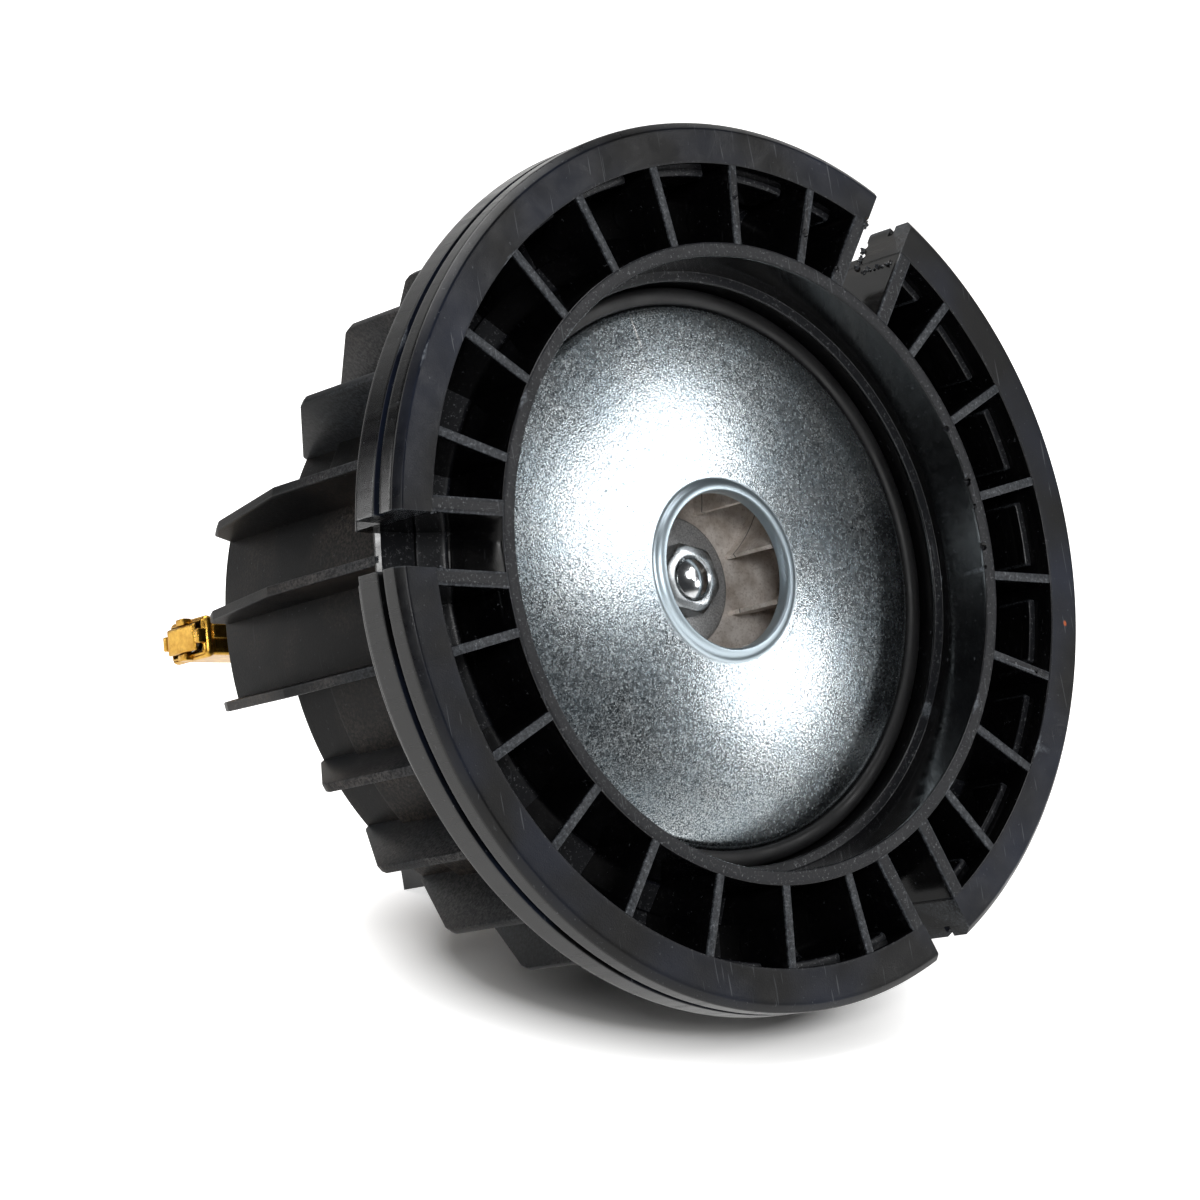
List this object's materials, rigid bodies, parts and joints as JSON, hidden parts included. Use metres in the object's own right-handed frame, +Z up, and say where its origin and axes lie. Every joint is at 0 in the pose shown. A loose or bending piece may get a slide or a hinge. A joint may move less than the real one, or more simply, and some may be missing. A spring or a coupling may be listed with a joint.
{
  "type": "vacuum motor unit",
  "caption": "Vacuum cleaner motor unit with a ribbed round plastic flange, a pressed metal fan cover and a through-flow commutator motor behind it.",
  "frame": {"origin": "on the ground under the middle of the unit's bounding box, as it lies at rest", "axes": "+Z up, inlet towards -Y and tilted up by 21 degrees, +X to the right as seen from the inlet"},
  "size_m": [0.175, 0.163, 0.1725],
  "materials": {
    "black_moulding": "satin",
    "zinc_sheet": "satin",
    "rubber": "matte",
    "cast_aluminium": "satin",
    "laminations": "satin",
    "coil_tape": "matte",
    "bobbin_plastic": "satin",
    "brass": "satin",
    "rear_plastic": "satin",
    "screw_steel": "satin",
    "shaft_steel": "gloss",
    "enamel_wire": "gloss",
    "copper": "satin",
    "fan_aluminium": "satin",
    "zinc_steel": "satin",
    "bearing_steel": "gloss",
    "carbon": "matte"
  },
  "bodies": {
    "unit": {"motor_housing": "black_moulding", "fan_cover": "zinc_sheet", "cover_seal_ring": "rubber", "diffuser": "cast_aluminium", "fan_end_bracket": "cast_aluminium", "front_bearing_outer_race": "bearing_steel", "rear_bearing_outer_race": "bearing_steel", "stator_core": "laminations", "field_coil_upper": "coil_tape", "field_coil_lower": "coil_tape", "coil_bobbin_upper": "bobbin_plastic", "coil_bobbin_lower": "bobbin_plastic", "terminal_tabs": "brass", "rear_bracket": "rear_plastic", "rear_mount_ring": "rubber", "bracket_screws": "screw_steel", "housing_screws": "screw_steel", "brush_holder_screws": "screw_steel", "brush_tube_left": "brass", "brush_tube_right": "brass", "brush_clip_left": "brass", "brush_clip_right": "brass", "brush_spring_left": "screw_steel", "brush_spring_right": "screw_steel", "brush_holder_left": "rear_plastic", "brush_holder_right": "rear_plastic"},
    "rotor": {"rotor_shaft": "shaft_steel", "armature_core": "laminations", "armature_winding": "enamel_wire", "commutator_hub": "bobbin_plastic", "commutator_bars": "copper", "front_bearing_inner_race": "bearing_steel", "rear_bearing_inner_race": "bearing_steel", "fan_spacer": "screw_steel", "impeller_back_disc": "fan_aluminium", "impeller_front_disc": "fan_aluminium", "impeller_blades": "fan_aluminium", "fan_washer": "zinc_steel", "fan_nut": "zinc_steel"},
    "front_ball_set": {"front_bearing_balls": "bearing_steel"},
    "rear_ball_set": {"rear_bearing_balls": "bearing_steel"},
    "left_brush": {"carbon_brush_left": "carbon"},
    "right_brush": {"carbon_brush_right": "carbon"}
  },
  "joints": [
    {"name": "rotor_spin", "type": "hinge", "parent": "unit", "child": "rotor", "pos_m": [0, 0.01094, 0.06769], "axis": [0, -0.9334, 0.3587], "continuous": true},
    {"name": "front_balls_roll", "type": "hinge", "parent": "unit", "child": "front_ball_set", "pos_m": [0, -0.00819, 0.07505], "axis": [0, -0.9334, 0.3587], "continuous": true},
    {"name": "rear_balls_roll", "type": "hinge", "parent": "unit", "child": "rear_ball_set", "pos_m": [0, 0.06667, 0.04628], "axis": [0, -0.9334, 0.3587], "continuous": true},
    {"name": "left_brush_slide", "type": "slide", "parent": "unit", "child": "left_brush", "axis": [-0.9942, 0.0387, 0.1008], "range_m": [0, 0.012], "stiffness_N_per_m": 30, "springref_m": -0.01, "deforming": ["brush_spring_left"]},
    {"name": "right_brush_slide", "type": "slide", "parent": "unit", "child": "right_brush", "axis": [0.9942, -0.0387, -0.1008], "range_m": [0, 0.012], "stiffness_N_per_m": 30, "springref_m": -0.01, "deforming": ["brush_spring_right"]}
  ],
  "couplings": [
    {"joint": "front_balls_roll", "follows": "rotor_spin", "ratio": 0.37},
    {"joint": "rear_balls_roll", "follows": "rotor_spin", "ratio": 0.37}
  ]
}
